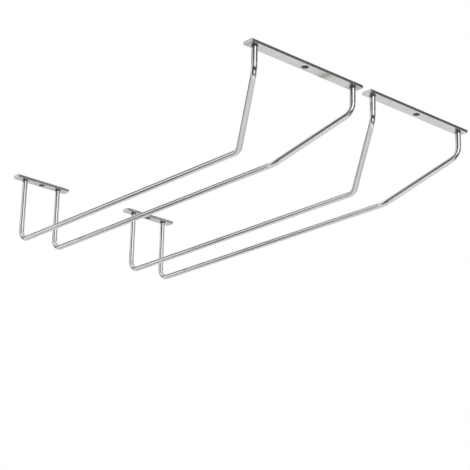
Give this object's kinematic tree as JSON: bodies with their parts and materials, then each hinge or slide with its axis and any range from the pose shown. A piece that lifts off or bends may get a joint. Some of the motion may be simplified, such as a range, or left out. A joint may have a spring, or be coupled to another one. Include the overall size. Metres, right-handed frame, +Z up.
{
  "type": "hanging wine glass rack",
  "caption": "Separate chromed wire rails for the underside of a shelf. Each hangs stemmed glasses upside down by the foot between bent round wires that open wide at the front.",
  "frame": {"origin": "on the mounting plane, which is the top of all the plates, midway between the screw holes", "axes": "+X along the plates from the left rail to the right rail, +Y along the rails from the front plates to the rear plates, +Z up into the shelf"},
  "size_m": [0.228, 0.3355, 0.06],
  "materials": {
    "chromed_plate": "plated flat steel strip, lightly satin",
    "chromed_wire": "plated round steel wire, polished"
  },
  "bodies": {
    "root": {"left_rail_front_plate": "chromed_plate", "left_rail_rear_plate": "chromed_plate", "left_rail_left_wire": "chromed_wire", "left_rail_right_wire": "chromed_wire", "right_rail_front_plate": "chromed_plate", "right_rail_rear_plate": "chromed_plate", "right_rail_left_wire": "chromed_wire", "right_rail_right_wire": "chromed_wire"}
  },
  "joints": []
}
